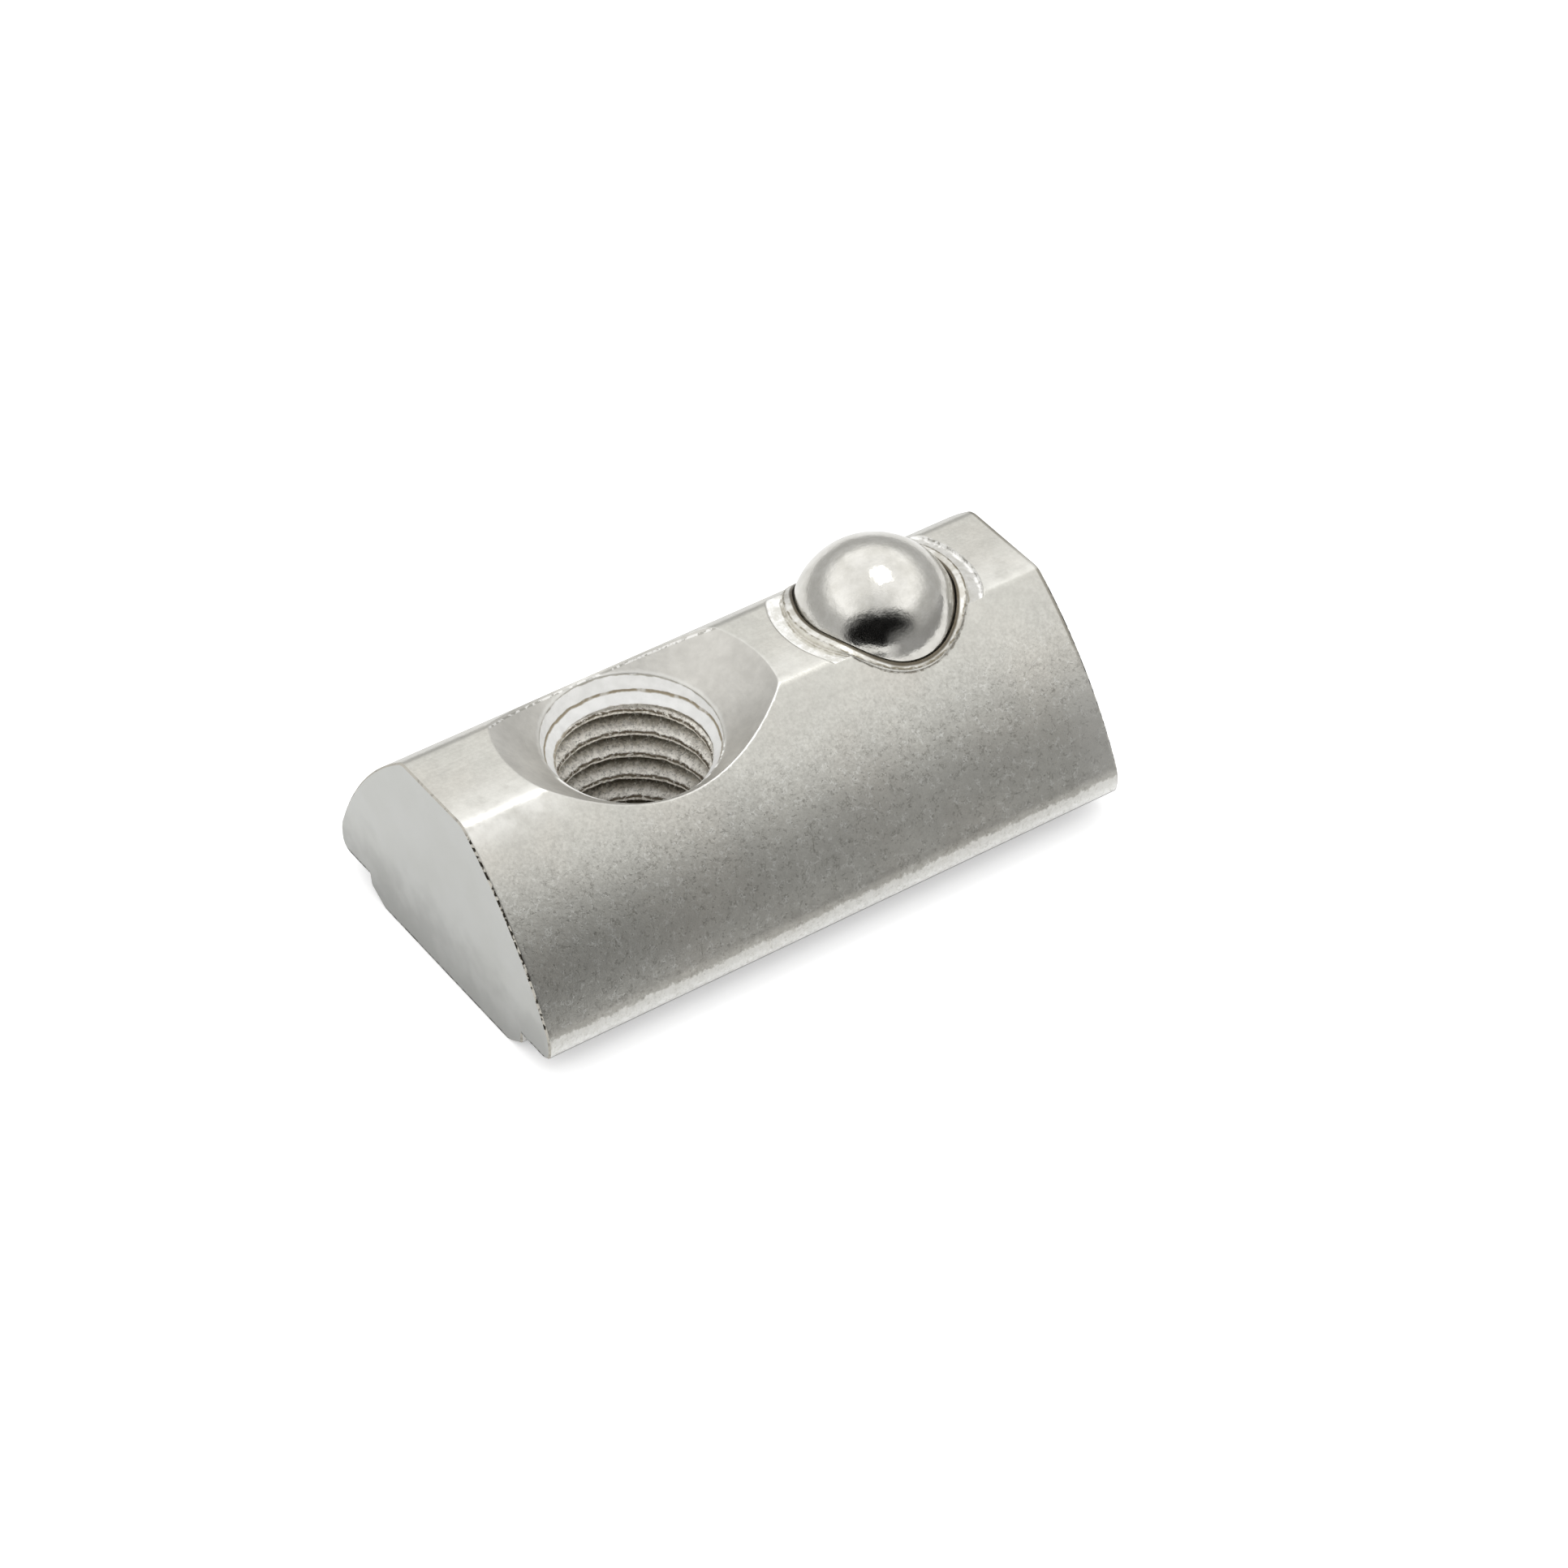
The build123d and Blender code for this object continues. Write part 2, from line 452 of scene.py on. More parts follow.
class Shader:
    """A material's node tree with short ways to add nodes. Places are in millimetres."""

    def __init__(self, name):
        self.material = bpy.data.materials.new(name)
        self.material.use_nodes = True
        self.nodes = self.material.node_tree.nodes
        self.links = self.material.node_tree.links
        self.surface = self.nodes["Principled BSDF"]
        self.shine(metallic=1)
        place = self.nodes.new("ShaderNodeTexCoord").outputs["Object"]
        self.place = self.vector("SCALE", place, scale=1 / MM)

    def put(self, socket, value):
        """Sets a socket to a value, or links it to another node's output."""
        if isinstance(value, bpy.types.NodeSocket):
            self.links.new(value, socket)
        else:
            socket.default_value = value

    def put_colour(self, socket, colour):
        self.put(socket, (*colour, 1) if isinstance(colour, tuple) else colour)

    def shine(self, **inputs):
        """Sets the surface's own inputs, such as Metallic."""
        for name, value in inputs.items():
            self.put(self.surface.inputs[SURFACE_INPUTS[name]], value)

    def vector(self, operation, a, b=None, scale=None):
        node = self.nodes.new("ShaderNodeVectorMath")
        node.operation = operation
        self.put(node.inputs[0], a)
        if b is not None:
            self.put(node.inputs[1], b)
        if scale is not None:
            node.inputs["Scale"].default_value = scale
        return node.outputs["Value"] if operation in ("LENGTH", "DOT_PRODUCT") else node.outputs["Vector"]

    def math(self, operation, a, b=0.0):
        node = self.nodes.new("ShaderNodeMath")
        node.operation = operation
        self.put(node.inputs[0], a)
        self.put(node.inputs[1], b)
        return node.outputs[0]

    def plus(self, a, b):
        return self.math("ADD", a, b)

    def minus(self, a, b):
        return self.math("SUBTRACT", a, b)

    def times(self, a, b):
        return self.math("MULTIPLY", a, b)

    def larger(self, a, b):
        return self.math("MAXIMUM", a, b)

    def length(self, a, b):
        return self.math("SQRT", self.plus(self.times(a, a), self.times(b, b)))

    def mirrored(self, place):
        """The place on the other side of the origin, where a noise differs from the one here."""
        return self.vector("SCALE", place, scale=-1)

    def split(self, a):
        node = self.nodes.new("ShaderNodeSeparateXYZ")
        self.put(node.inputs[0], a)
        return node.outputs

    def noise(self, scale, detail=2, place=None, stretch=None, rough=0.5):
        node = self.nodes.new("ShaderNodeTexNoise")
        place = self.place if place is None else place
        if stretch:
            place = self.vector("MULTIPLY", place, stretch)
        self.put(node.inputs["Vector"], place)
        node.inputs["Scale"].default_value = scale
        node.inputs["Detail"].default_value = detail
        node.inputs["Roughness"].default_value = rough
        return node.outputs["Fac"]

    def fit(self, value, low, high, to_low=0.0, to_high=1.0, smooth=True):
        """Carries one range over to another and stops at its ends."""
        node = self.nodes.new("ShaderNodeMapRange")
        node.interpolation_type = "SMOOTHSTEP" if smooth else "LINEAR"
        self.put(node.inputs["Value"], value)
        node.inputs["From Min"].default_value = low
        node.inputs["From Max"].default_value = high
        self.put(node.inputs["To Min"], to_low)
        self.put(node.inputs["To Max"], to_high)
        return node.outputs["Result"]

    def ramp(self, value, stops):
        node = self.nodes.new("ShaderNodeValToRGB")
        set_stops(node.color_ramp.elements, stops)
        self.put(node.inputs["Fac"], value)
        return node.outputs["Color"]

    def blend(self, share, a, b):
        """Colour a where the share is 0 and colour b where it is 1."""
        node = self.nodes.new("ShaderNodeMix")
        node.data_type = "RGBA"
        self.put(node.inputs["Factor"], share)
        self.put_colour(node.inputs[6], a)
        self.put_colour(node.inputs[7], b)
        return node.outputs[2]

    def finish(self, colour, roughness, heights=(), bevel=0.0):
        """Ends a material. Heights are (noise, depth) bumps, and a bevel rounds its edges' shading."""
        self.put_colour(self.surface.inputs["Base Color"], colour)
        self.put(self.surface.inputs["Roughness"], roughness)
        normal = None
        if bevel:
            node = self.nodes.new("ShaderNodeBevel")
            node.samples = 4
            node.inputs["Radius"].default_value = bevel * MM
            normal = node.outputs["Normal"]
        for height, depth in heights:
            node = self.nodes.new("ShaderNodeBump")
            node.inputs["Strength"].default_value = 1
            node.inputs["Distance"].default_value = depth * MM
            self.put(node.inputs["Height"], height)
            if normal is not None:
                self.links.new(normal, node.inputs["Normal"])
            normal = node.outputs["Normal"]
        if normal is not None:
            self.links.new(normal, self.surface.inputs["Normal"])
        return self.material


def round_radius(s, axis):
    """Distance from a vertical axis, in millimetres."""
    parts = s.split(s.place)
    return s.length(s.minus(parts["X"], axis[0] / MM), s.minus(parts["Y"], axis[1] / MM))


def line_at(s, value, centre, width, wander=0.0, scale=3.0):
    """1 along a line where the value equals the centre, fading to 0 within the width."""
    if wander:
        value = s.plus(value, s.fit(s.noise(scale, 3), 0.2, 0.8, -wander, wander, smooth=False))
    away = s.math("DIVIDE", s.math("ABSOLUTE", s.minus(value, centre)), width)
    return s.fit(away, 1.0, 0.3)


def dish_edge(s, width, wander, scale):
    """1 along the line where a surface meets the dish's cone, fading to 0 within the width."""
    over = s.minus(s.times(s.split(s.place)["Z"], DISH_SLOPE), round_radius(s, DISH_AXIS))
    return line_at(s, over, (BAR_HEIGHT * DISH_SLOPE - DISH_RADIUS) / MM, width, wander, scale)


def flank_depth(s):
    """How deep a place is under the flank's own surface, in millimetres."""
    parts = s.split(s.place)
    centre = flank_centre() / MM
    out = s.length(s.minus(s.math("ABSOLUTE", parts["Y"]), centre.x), s.minus(parts["Z"], centre.y))
    return s.minus(FLANK_RADIUS / MM, out)


def streaked(s, across, along=0.0):
    """A place that changes only with the given values, so that a noise read there runs in lines."""
    node = s.nodes.new("ShaderNodeCombineXYZ")
    s.put(node.inputs[0], across)
    s.put(node.inputs[1], along)
    return node.outputs[0]


def hairs(s, scale, shift):
    """Short fine scratches: stretches of a noise's own contour lines."""
    place = s.vector("ADD", s.place, shift)
    line = line_at(s, s.noise(scale, 2, place=place, rough=0.7), 0.5, 0.045)
    stretches = s.fit(s.noise(scale * 0.9, 2, place=s.mirrored(place)), 0.5, 0.62)
    return s.times(line, stretches)


def bar_skin(s, parts):
    """The drawn bar's mottled colour, with the grain and pits that its bumps follow."""
    tint = s.noise(0.4, 2, place=s.vector("ADD", s.place, (31.0, 7.0, 3.0)))
    cloud = s.noise(0.55, 3)
    blotch = s.noise(3.6, 4, rough=0.6)
    grain = s.noise(12, 3, rough=0.6)
    grain_share = s.times(s.fit(grain, 0.35, 0.65, 0.0, 0.21), s.fit(parts["Z"], 6.4, 4.4, 0.55, 1.0))

    # Pits and scratches fade out towards the flat
    low = s.fit(parts["Z"], 6.2, 4.2)
    pits = s.times(s.fit(s.noise(8, 3, rough=0.65), 0.42, 0.34), low)
    dark_hairs = s.times(hairs(s, 4.1, (17.0, 2.0, 9.0)), low)
    light_hairs = s.times(hairs(s, 4.6, (3.0, 11.0, 5.0)), low)

    colour = s.blend(s.fit(tint, 0.35, 0.7), (0.650, 0.641, 0.590), (0.665, 0.645, 0.588))
    colour = s.blend(s.fit(cloud, 0.3, 0.7, 0.0, 0.14), colour, (0.3, 0.3, 0.29))
    colour = s.blend(s.fit(blotch, 0.35, 0.65, 0.0, 0.16), colour, (0.34, 0.33, 0.30))
    colour = s.blend(grain_share, colour, (0.32, 0.31, 0.28))
    colour = s.blend(s.times(pits, 0.4), colour, (0.20, 0.19, 0.17))
    colour = s.blend(s.times(dark_hairs, 0.42), colour, (0.22, 0.21, 0.18))
    colour = s.blend(s.times(light_hairs, 0.45), colour, (0.92, 0.92, 0.88))
    return colour, grain, pits


def ball_end_tones(s, parts, colour):
    """Towards the ball's end: a paler lower flank, and a dark line along the end's edge near the flat."""
    pale = s.times(s.fit(parts["X"], 7.6, 9.4, 0.0, 0.3), s.fit(parts["Z"], 5.0, 3.4))
    colour = s.blend(pale, colour, (0.90, 0.89, 0.85))
    end_x = BODY_HIGH.x / MM
    edge = s.times(s.fit(parts["X"], end_x - 0.15, end_x - 0.10), s.fit(parts["Z"], 4.2, 5.4, 0.0, 0.6))
    return s.blend(edge, colour, (0.16, 0.14, 0.10))


def flat_painted_highlights(s, parts, flat, colour):
    """The burnished flat, painted lighter towards its near side as a reflection, and a painted highlight
    along its near edge towards the hole's end.
    """
    near = s.times(parts["Y"], -1)
    # Painted reflection: the flat is painted lighter towards its near side
    worn = s.times(flat, s.fit(near, -0.3, 1.3, 0.0, 0.45))
    worn = s.times(worn, s.fit(s.noise(1.4, 4, rough=0.6), 0.3, 0.6, 0.4, 1.0))
    colour = s.blend(worn, colour, (0.92, 0.91, 0.86))
    # Painted highlight: a bright band along the near edge, towards the hole's end
    half_flat = FLAT_WIDTH / 2 / MM
    by_end = s.fit(parts["X"], -5.0, -7.5)
    band = s.times(s.fit(near, half_flat - 0.5, half_flat), s.fit(near, half_flat + 1.0, half_flat))
    band = s.times(s.times(band, by_end), s.fit(s.noise(1.6, 3), 0.3, 0.6, 0.15, 0.65))
    return s.blend(band, colour, (0.95, 0.94, 0.90))


def side_band_light_and_dirt(s, parts, facing, colour):
    """The side band: burnished up to an uneven line and painted brighter, with specks of dirt, and painted
    shade above it and below it.
    """
    side_top = SIDE_HEIGHT / MM
    ragged = s.plus(parts["Z"], s.fit(s.noise(3.2, 6, rough=0.8), 0.25, 0.75, -0.14, 0.14, smooth=False))
    # The band's brightness is partly its burnish and partly painted light
    side = s.fit(ragged, side_top, side_top - 0.1)
    # Painted shade on the flank just above the band
    painted_foot_shade = s.times(s.fit(ragged, side_top + 0.5, side_top), s.minus(1.0, side))
    side = s.times(side, s.fit(s.noise(6, 5, rough=0.75), 0.3, 0.65, 0.85, 0.5))
    s.shine(metallic=s.fit(side, 0.3, 0.7, 1.0, 0.5))
    # Painted light: the band is painted brighter low down than high up
    burnished = s.blend(s.fit(parts["Z"], 1.5, 1.0), (0.64, 0.635, 0.61), (1.0, 1.0, 0.98))
    colour = s.blend(side, colour, burnished)
    dirt = s.times(side, s.fit(s.noise(8, 4, rough=0.7), 0.56, 0.66, 0.0, 0.6))
    colour = s.blend(dirt, colour, (0.36, 0.34, 0.29))
    colour = s.blend(s.times(painted_foot_shade, 0.55), colour, (0.22, 0.21, 0.19))
    # Painted shade on the faces that turn down at the band's foot
    painted_underside_shade = s.fit(facing["Z"], -0.36, -0.55, 0.0, 0.9)
    return s.blend(painted_underside_shade, colour, (0.10, 0.095, 0.085))


def rim_highlight_and_lip_foot(s, parts, facing, colour):
    """A painted highlight along the edge where the dish meets the near flank, and the dark foot of the staked
    lip.
    """
    # Painted highlight along the dish's rim on the near flank
    rim = s.times(dish_edge(s, 0.09, 0.03, 5.0), s.fit(parts["X"], -4.5, -0.8, 0.1, 1.0))
    rim = s.times(rim, s.fit(facing["Z"], 0.95, 0.86, 0.15, 1.0))
    colour = s.blend(rim, colour, (1.0, 1.0, 0.97))
    lip_foot = line_at(s, round_radius(s, BALL_CENTRE), LIP_RADIUS / MM + 0.01, 0.05, 0.03, 6.0)
    lip_foot = s.times(lip_foot, s.fit(s.noise(7, 3), 0.4, 0.55, 0.15, 0.7))
    lip_foot = s.times(lip_foot, s.fit(parts["Z"], 2.0, 2.5))
    return s.blend(lip_foot, colour, (0.12, 0.10, 0.07))


def bar_steel():
    """Drawn bar: lengthwise streaks on the flat, fine hairs and soft mottling on the flanks, painted
    highlights along its edges.
    """
    s = Shader("bar steel")
    facing = s.split(s.nodes.new("ShaderNodeNewGeometry").outputs["Normal"])
    parts = s.split(s.place)
    flat = s.fit(facing["Z"], 0.9, 0.97)
    colour, grain, pits = bar_skin(s, parts)
    colour = ball_end_tones(s, parts, colour)
    colour = flat_painted_highlights(s, parts, flat, colour)
    colour = side_band_light_and_dirt(s, parts, facing, colour)
    colour = rim_highlight_and_lip_foot(s, parts, facing, colour)
    streaks = s.times(s.noise(1, 3, stretch=(0.3, 7.0, 7.0)), flat)
    rough_skin = s.minus(grain, s.times(pits, 0.4))
    roughness = s.fit(grain, 0.3, 0.7, 0.28, 0.36)
    return s.finish(colour, roughness, [(rough_skin, 0.003), (streaks, 0.006)], bevel=0.09)


def end_steel():
    """Sawn and tumbled end face: matte and even, with painted shade that makes it a little darker towards its
    foot.
    """
    s = Shader("end steel")
    parts = s.split(s.place)
    cloud = s.noise(0.7, 3)
    grain = s.noise(6, 3)
    colour = s.blend(s.fit(cloud, 0.3, 0.7), (0.612, 0.617, 0.597), (0.592, 0.597, 0.572))
    # Painted shade: the face darkens towards its foot, next to the floor
    foot = s.fit(s.plus(parts["Z"], s.fit(s.noise(1.2, 2), 0.3, 0.7, -0.4, 0.4)), 3.0, 0.1, 0.0, 0.42)
    colour = s.blend(foot, colour, (0.24, 0.24, 0.23))

    # Broken dark line along the lower edges
    half_neck = NECK_WIDTH / 2 / MM
    wide = s.fit(s.math("ABSOLUTE", parts["Y"]), half_neck - 0.02, half_neck + 0.02)
    bottom = s.fit(s.minus(parts["Z"], s.times(wide, NECK_DEPTH / MM)), 0.13, 0.09)
    bottom = s.times(bottom, s.fit(s.noise(7, 4), 0.56, 0.44, 0.2, 0.9))
    colour = s.blend(bottom, colour, (0.03, 0.027, 0.02))
    return s.finish(colour, 0.5, [(grain, 0.001)])


def burr_steel():
    """Edge round the end faces: a broken dark line, fainter by the flat, the foot and the upper far side."""
    s = Shader("burr steel")
    parts = s.split(s.place)
    gaps = s.fit(s.noise(7, 4), 0.44, 0.56)
    by_flat = s.fit(parts["Z"], 6.2, 6.45)
    far_top = s.times(s.fit(parts["Y"], -0.5, 0.5), s.fit(parts["Z"], 3.2, 4.0))
    foot = s.fit(parts["Z"], 1.75, 1.45)
    faint = s.larger(s.larger(by_flat, far_top), foot)
    light = s.larger(gaps, s.times(faint, s.fit(s.noise(5, 3), 0.35, 0.5, 0.65, 0.95)))
    colour = s.blend(light, (0.02, 0.017, 0.012), (0.46, 0.44, 0.39))
    s.shine(metallic=0, specular=0.1)
    return s.finish(colour, 0.8, [(s.noise(8, 3), 0.02)])


def dish_steel():
    """Turned dish: smooth, mottled, with faint rings round its own axis and a dotted burr at its far rim."""
    s = Shader("dish steel")
    parts = s.split(s.place)
    rings = s.noise(9, 3, place=streaked(s, round_radius(s, DISH_AXIS)))
    cloud = s.noise(0.8, 4, rough=0.6)
    blotch = s.noise(3.5, 4, rough=0.6)
    colour = s.blend(s.fit(cloud, 0.3, 0.7), (0.60, 0.585, 0.545), (0.70, 0.685, 0.64))
    colour = s.blend(s.fit(blotch, 0.35, 0.65, 0.0, 0.15), colour, (0.36, 0.35, 0.32))
    far = s.times(s.fit(parts["Y"], 1.0, 1.6), line_at(s, flank_depth(s), 0.09, 0.045, 0.01))
    dots = s.fit(s.noise(6, 2), 0.42, 0.54)
    colour = s.blend(s.times(far, 0.8), colour, s.blend(dots, (0.42, 0.41, 0.37), (0.98, 0.97, 0.94)))

    # Painted highlight along the edge towards the lead-in: wide and bright on the side away from the ball,
    # speckled near the flank
    axis_x = THREAD_X / MM
    bright = s.times(s.fit(parts["X"], axis_x - 1.4, axis_x - 1.8), s.fit(parts["Y"], 0.1, -0.5))
    bright = s.times(bright, s.fit(parts["Y"], -1.9, -1.4))
    on_cone = s.plus(round_radius(s, THREAD_AXIS), s.times(parts["Z"], -LEAD_IN_SLOPE))
    cone_at = (LEAD_IN_RADIUS - LEAD_IN_FOOT * LEAD_IN_SLOPE) / MM
    edge = line_at(s, on_cone, cone_at, s.fit(bright, 0, 1, 0.09, 0.2), 0.02, 5.0)
    specks = s.times(s.fit(parts["Y"], -1.0, -1.8), s.fit(s.noise(5, 3), 0.48, 0.56))
    edge = s.times(edge, s.larger(s.fit(bright, 0, 1, 0.3, 1.0), specks))
    colour = s.blend(edge, colour, (1.0, 1.0, 0.97))
    s.shine(metallic=s.fit(edge, 0.5, 0.9, 1.0, 0.0))
    return s.finish(colour, 0.42, [(rings, 0.003), (s.noise(8, 3), 0.004)], bevel=0.06)


def lead_in_steel():
    """Freshly cut lead-in, worn round: its near-white colour is partly painted light, with uneven dark lines
    at its rim, bevel and foot.
    """
    s = Shader("lead-in steel")
    z = s.split(s.place)["Z"]
    foot = LEAD_IN_FOOT / MM
    # Partly painted light: the near-white matte colour also stands for the strong light on this wall
    colour = s.blend(s.fit(s.noise(3, 3), 0.3, 0.7), (1.0, 1.0, 0.985), (0.90, 0.90, 0.88))
    colour = s.blend(s.fit(z, foot + 0.03, foot - 0.03, 0.0, 0.36), colour, (0.5, 0.5, 0.49))

    outer = s.times(dish_edge(s, 0.06, 0.03, 3.0), s.fit(s.noise(2.5, 2), 0.3, 0.5, 0.3, 0.75))
    colour = s.blend(outer, colour, (0.25, 0.22, 0.16))
    upper = line_at(s, z, foot, 0.06, 0.03, 2.5)
    upper = s.times(upper, s.fit(s.noise(3.5, 2), 0.3, 0.5, 0.45, 0.95))
    colour = s.blend(upper, colour, (0.26, 0.21, 0.13))
    lower = line_at(s, z, foot - ENTRY_HEIGHT / MM + 0.03, 0.06, 0.03, 4.0)
    lower = s.times(lower, s.fit(s.noise(5, 2), 0.3, 0.55, 0.4, 0.9))
    colour = s.blend(lower, colour, (0.30, 0.25, 0.17))
    s.shine(metallic=0, specular=0.8)
    return s.finish(colour, 0.4, [(s.noise(7, 3), 0.01)], bevel=0.08)


def stake_steel():
    """Burnished by the staking punch: bright, with fine ridges round the ball."""
    s = Shader("stake steel")
    radius = round_radius(s, BALL_CENTRE)
    ridges = s.noise(9, 2, place=streaked(s, radius, s.times(s.noise(0.8, 2), 0.3)))
    colour = s.blend(s.fit(s.noise(3.5, 4, rough=0.65), 0.35, 0.65), (0.98, 0.975, 0.95), (0.74, 0.73, 0.68))

    # The lip's upright wall, painted shade on the side past the ball, a painted highlight along the outer
    # edge and the dark seam by the wall
    wall_at = LIP_RADIUS / MM
    wall = s.fit(radius, wall_at + 0.05, wall_at + 0.01)
    colour = s.blend(wall, colour, (0.86, 0.84, 0.78))
    # Painted shade on the side past the ball
    ball_x = BALL_CENTRE.x / MM
    painted_far_side_shade = s.fit(s.split(s.place)["X"], ball_x, ball_x + 2.0, 0.0, 0.6)
    colour = s.blend(painted_far_side_shade, colour, (0.42, 0.41, 0.38))
    # Painted highlight along the outer edge, matte white
    outer = line_at(s, radius, wall_at + STAKE_WIDTH / MM - 0.04, 0.12, 0.03, 5.0)
    outer = s.times(outer, s.fit(s.noise(5, 4, rough=0.65), 0.35, 0.6, 0.25, 0.95))
    colour = s.blend(outer, colour, (0.93, 0.925, 0.90))
    s.shine(metallic=s.fit(outer, 0.3, 0.8, 1.0, 0.0))
    seam = line_at(s, radius, wall_at + 0.05, 0.05, 0.03, 5.0)
    seam = s.times(seam, s.fit(s.noise(4, 3), 0.35, 0.6, 0.1, 0.6))
    colour = s.blend(seam, colour, (0.22, 0.19, 0.12))
    return s.finish(colour, 0.28, [(ridges, 0.014), (s.noise(6, 4, rough=0.6), 0.012)], bevel=0.06)


def lip_steel():
    """Top of the staked lip: worn, with a thin tan line round it and painted shade in the gap by the ball."""
    s = Shader("lip steel")
    colour = s.blend(s.fit(s.noise(3.2, 4, rough=0.6), 0.35, 0.65), (0.84, 0.83, 0.79), (0.60, 0.58, 0.52))
    line = line_at(s, round_radius(s, BALL_CENTRE), LIP_RADIUS / MM - 0.02, 0.045, 0.03, 4.0)
    line = s.times(line, s.fit(s.noise(5, 3), 0.35, 0.6, 0.2, 0.85))
    colour = s.blend(line, colour, (0.20, 0.17, 0.11))
    # Painted shade in the gap between the lip and the ball
    reach = s.vector("LENGTH", s.vector("SUBTRACT", s.place, tuple(BALL_CENTRE / MM)))
    painted_gap_shade = s.fit(reach, POCKET_RADIUS / MM + 0.10, POCKET_RADIUS / MM + 0.05, 0.0, 0.9)
    colour = s.blend(painted_gap_shade, colour, (0.09, 0.07, 0.04))
    return s.finish(colour, 0.36, [(s.noise(6, 4, rough=0.6), 0.012)], bevel=0.05)


def thread_steel():
    """Tapped thread: torn flanks painted bright as lit, dark lines at the crests, and dark roots that are
    partly dirt and partly painted shade, all along the helix.
    """
    s = Shader("thread steel")
    parts = s.split(s.place)
    x = s.minus(parts["X"], THREAD_X / MM)
    turn = s.math("DIVIDE", s.math("ARCTAN2", parts["Y"], x), TAU)
    rise = s.math("DIVIDE", s.minus(parts["Z"], THREAD_PHASE / MM), PITCH / MM)
    wander = s.fit(s.noise(3.5, 4, rough=0.65), 0.25, 0.75, -0.05, 0.05, smooth=False)
    share = s.math("FRACT", s.plus(s.minus(rise, turn), wander))
    colour = s.ramp(share, THREAD_LIGHT_AND_SHADE)
    patches = s.fit(s.noise(5, 4, rough=0.7), 0.42, 0.62, 0.0, 0.38)
    colour = s.blend(patches, colour, (0.24, 0.21, 0.16))
    specks = s.fit(s.noise(11, 3, rough=0.7), 0.52, 0.64, 0.0, 0.5)
    colour = s.blend(specks, colour, (0.10, 0.085, 0.06))
    # Painted highlights: scattered bright specks on the thread
    painted_glints = s.fit(s.noise(9, 3, place=s.mirrored(s.place), rough=0.7), 0.54, 0.64, 0.0, 0.6)
    colour = s.blend(painted_glints, colour, (1.0, 0.97, 0.89))
    s.shine(metallic=s.fit(share, 0.20, 0.25, 0.0, 0.62), specular=0.25)
    return s.finish(colour, 0.5, [(s.noise(6, 4, rough=0.65), 0.02)])


def pocket_steel():
    """Drilled wall of the ball's pocket."""
    s = Shader("pocket steel")
    colour = s.blend(s.fit(s.noise(3, 3), 0.35, 0.65), (0.88, 0.86, 0.80), (0.62, 0.60, 0.54))
    return s.finish(colour, 0.5, [(s.noise(6, 3), 0.01)])


def ball_steel():
    """Polished ball with a faint cloudy haze."""
    s = Shader("ball steel")
    cloud = s.noise(1.3, 4, rough=0.65)
    fine = s.noise(4.0, 3, rough=0.6)
    colour = s.blend(s.fit(cloud, 0.3, 0.7), (0.78, 0.765, 0.720), (0.645, 0.63, 0.58))
    colour = s.blend(s.fit(fine, 0.35, 0.65, 0.0, 0.10), colour, (0.4, 0.39, 0.36))
    roughness = s.fit(cloud, 0.3, 0.7, 0.115, 0.175)
    return s.finish(colour, roughness, [(s.noise(2.5, 4, rough=0.6), 0.010), (s.noise(8, 3), 0.002)])


def wire_steel():
    """Drawn wire of the hidden spring."""
    s = Shader("wire steel")
    return s.finish((0.5, 0.49, 0.47), 0.3, [(s.noise(12, 2), 0.003)])


def dress(piece, *materials):
    """Gives a mesh its materials. An empty list isn't cleared, as that would reset which face has which."""
    slots = piece.data.materials
    if slots:
        slots.clear()
    for material in materials:
        slots.append(material)


BAR, END, BURR = bar_steel(), end_steel(), burr_steel()
DISH, LEAD_IN = dish_steel(), lead_in_steel()
STAKE, LIP = stake_steel(), lip_steel()
THREAD, POCKET = thread_steel(), pocket_steel()
body = make_body()
ball = make_ball()
dress(ball, ball_steel())
dress(frame["nodes"]["spring"], wire_steel())
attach(body, "nut")
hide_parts("nut_body")
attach(ball, "ball")
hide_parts("ball")


# ---- Floor, camera and lights ----
FLOOR_HALF = 0.6
FLOOR_GAP = 0.004 * MM
# How much the floor's white is lifted for each kind of ray
FLOOR_LIFT = {"Is Camera Ray": 0.40, "Is Glossy Ray": 0.06, "Is Transmission Ray": 0.06}

CAMERA_LENS = 120.72
CAMERA_AZIMUTH = math.radians(-33.058)
CAMERA_ELEVATION = math.radians(40.702)
CAMERA_ROLL = math.radians(1.660)
CAMERA_DISTANCE = 146.2275 * MM
CAMERA_SHIFT = (1.5473 * MM, -1.4943 * MM)

# Brightness of the dome, from the horizon (0) to straight above (1)
DOME = [
    (0.00, 0.60), (0.16, 0.55), (0.28, 0.56), (0.40, 0.64), (0.52, 0.98),
    (0.61, 1.22), (0.72, 1.20), (0.84, 1.10), (1.00, 1.06),
]

FLAG_DISTANCE = 0.12
LOW_FLAG_DISTANCE = 0.025
LOW_FLAG_HEIGHT = 0.3 * MM
LOW_STRIP_PLACE = Vector((0.062, -0.017, 0))
FILL_TARGET = Vector((0, 0, 4 * MM))
FILL_DISTANCE = 0.16
OVERHEAD_PLACE = Vector((0.019, 0.001, 0.085))
OVERHEAD_TARGET = Vector((0, 0, 6 * MM))


def sheet(name, half):
    """A flat square that faces up, with the given half width."""
    bm = bmesh.new()
    bmesh.ops.create_grid(bm, x_segments=1, y_segments=1, size=half)
    return new_object(name, bm)


